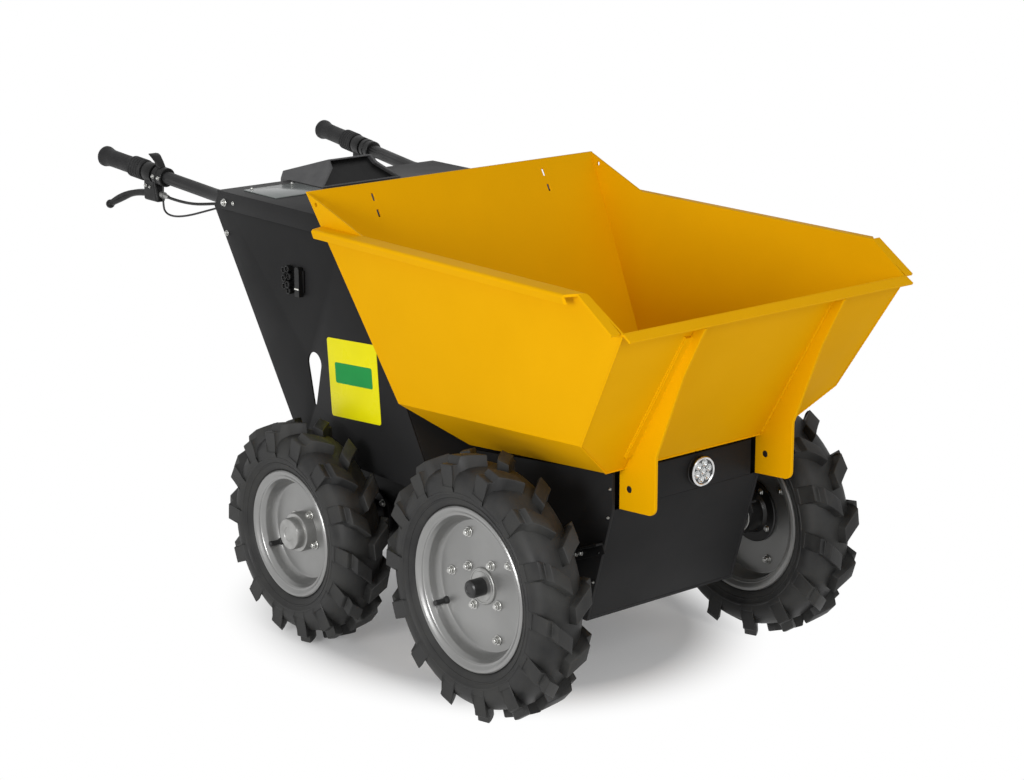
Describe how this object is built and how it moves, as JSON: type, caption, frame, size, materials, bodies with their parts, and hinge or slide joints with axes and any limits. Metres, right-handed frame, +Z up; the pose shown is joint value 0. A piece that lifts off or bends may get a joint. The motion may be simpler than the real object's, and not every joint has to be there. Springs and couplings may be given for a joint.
{
  "type": "site dumper",
  "caption": "Walk-behind electric site dumper on lugged tyres, with a forward tipping sheet bucket, a charcoal console and handlebars with brake levers.",
  "frame": {"origin": "on the ground, at the middle of the machine's length and width", "axes": "+X forward, towards the bucket's lip; +Y to the left of the driver behind the handlebars; +Z up"},
  "size_m": [1.6256, 0.774, 0.828],
  "materials": {
    "tyre_rubber": "matt",
    "rim_metal": "satin silver paint",
    "hub_metal": "satin silver paint",
    "soft_rubber": "matt",
    "bucket_paint": "semi-gloss powder coat",
    "axle_steel": "satin",
    "battery_case": "matt",
    "motor_case": "satin",
    "label_film": "gloss film",
    "lamp_glass": "clear",
    "lamp_bezel": "satin",
    "black_plastic": "satin",
    "display_film": "gloss film",
    "lever_metal": "satin black",
    "cable_sheath": "satin",
    "body_paint": "satin powder coat"
  },
  "bodies": {
    "chassis": {"battery_label": "label_film", "battery_pack": "battery_case", "brake_cable_left": "cable_sheath", "brake_cable_right": "cable_sheath", "brake_lever_left": "lever_metal", "brake_lever_right": "lever_metal", "bucket_buffers": "soft_rubber", "chassis_frame": "body_paint", "console_deck": "body_paint", "console_front_panel": "body_paint", "console_rear_panel": "body_paint", "console_side_left": "body_paint", "console_side_right": "body_paint", "console_top": "body_paint", "control_hood": "black_plastic", "display_panel": "display_film", "drive_motor": "motor_case", "front_axle": "axle_steel", "front_panel": "body_paint", "grip_left": "soft_rubber", "grip_right": "soft_rubber", "handlebar_left": "body_paint", "handlebar_right": "body_paint", "lamp_body": "lamp_bezel", "lamp_lens": "lamp_glass", "nose_panel": "body_paint", "pivot_brackets": "axle_steel", "power_connector": "black_plastic", "rear_axle": "axle_steel", "thumb_control": "black_plastic", "twist_collar": "black_plastic"},
    "bucket": {"bucket_ear_left": "bucket_paint", "bucket_ear_right": "bucket_paint", "bucket_floor": "bucket_paint", "bucket_front_wall": "bucket_paint", "bucket_rear_wall": "bucket_paint", "bucket_side_left": "bucket_paint", "bucket_side_right": "bucket_paint"},
    "wheel_front_right": {"hub_front_right": "hub_metal", "rim_front_right": "rim_metal", "tyre_front_right": "tyre_rubber"},
    "wheel_front_left": {"hub_front_left": "hub_metal", "rim_front_left": "rim_metal", "tyre_front_left": "tyre_rubber"},
    "wheel_rear_right": {"hub_rear_right": "hub_metal", "rim_rear_right": "rim_metal", "tyre_rear_right": "tyre_rubber"},
    "wheel_rear_left": {"hub_rear_left": "hub_metal", "rim_rear_left": "rim_metal", "tyre_rear_left": "tyre_rubber"}
  },
  "joints": [
    {"name": "spin_front_right", "type": "hinge", "parent": "chassis", "child": "wheel_front_right", "pos_m": [0.46, -0.314, 0.229], "axis": [0, 1, 0], "continuous": true},
    {"name": "spin_front_left", "type": "hinge", "parent": "chassis", "child": "wheel_front_left", "pos_m": [0.46, 0.314, 0.229], "axis": [0, 1, 0], "continuous": true},
    {"name": "spin_rear_right", "type": "hinge", "parent": "chassis", "child": "wheel_rear_right", "pos_m": [-0.0325, -0.331, 0.204], "axis": [0, 1, 0], "continuous": true},
    {"name": "spin_rear_left", "type": "hinge", "parent": "chassis", "child": "wheel_rear_left", "pos_m": [-0.0325, 0.331, 0.204], "axis": [0, 1, 0], "continuous": true},
    {"name": "bucket_tip", "type": "hinge", "parent": "chassis", "child": "bucket", "pos_m": [0.64, 0, 0.4075], "axis": [0, 1, 0], "range_deg": [0, 75]}
  ]
}
